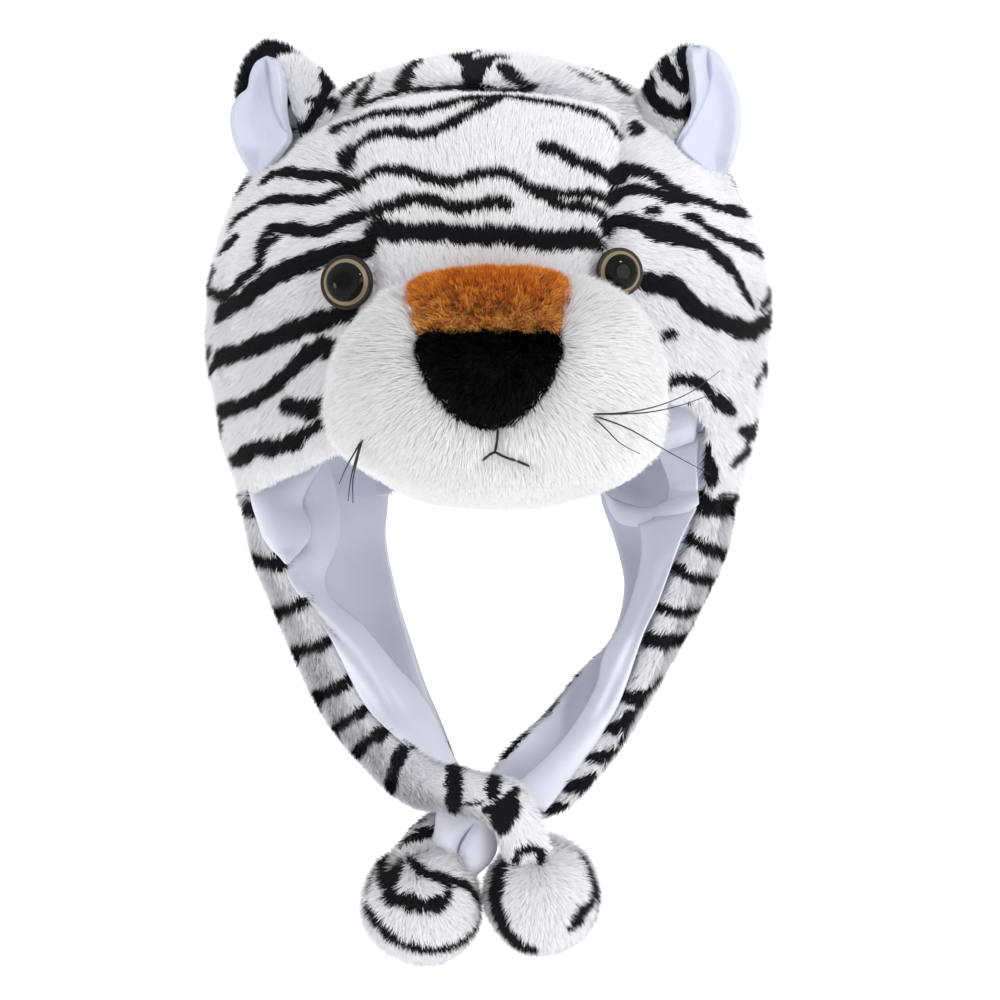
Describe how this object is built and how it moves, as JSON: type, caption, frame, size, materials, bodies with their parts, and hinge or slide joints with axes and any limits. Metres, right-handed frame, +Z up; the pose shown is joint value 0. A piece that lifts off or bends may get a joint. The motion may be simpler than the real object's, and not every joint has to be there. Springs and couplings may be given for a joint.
{
  "type": "plush animal earflap hat",
  "caption": "Plush animal earflap hat: lined, panelled hood with stuffed muzzle, cupped ears, plastic eyes, and long flaps knotted under the chin into plush balls.",
  "frame": {"origin": "top of the inside of the hood, where the hat rests on a head", "axes": "+Z up, the face and muzzle look along -Y, the wearer's left is +X"},
  "size_m": [0.216, 0.2888, 0.3441],
  "materials": {
    "striped_plush": "short fur fabric, white with printed black stripes",
    "white_plush": "longer white fur fabric",
    "brown_plush": "orange-brown fur fabric",
    "black_plush": "short black fur fabric",
    "lining_knit": "soft brushed knit, pale lavender white",
    "eye_plastic": "dark glossy domed plastic with a brown rim"
  },
  "bodies": {
    "root": {"forehead_panel": "striped_plush", "side_panel_left": "striped_plush", "side_panel_right": "striped_plush", "back_panel": "striped_plush", "hood_lining": "lining_knit", "muzzle": "white_plush", "nose": "black_plush", "nose_bridge": "brown_plush", "eye_left": "eye_plastic", "eye_right": "eye_plastic", "ear_left": "striped_plush", "ear_lining_left": "lining_knit", "ear_right": "striped_plush", "ear_lining_right": "lining_knit", "earflap_left": "striped_plush", "earflap_lining_left": "lining_knit", "pompom_left": "striped_plush", "earflap_right": "striped_plush", "earflap_lining_right": "lining_knit", "pompom_right": "striped_plush"}
  },
  "joints": []
}
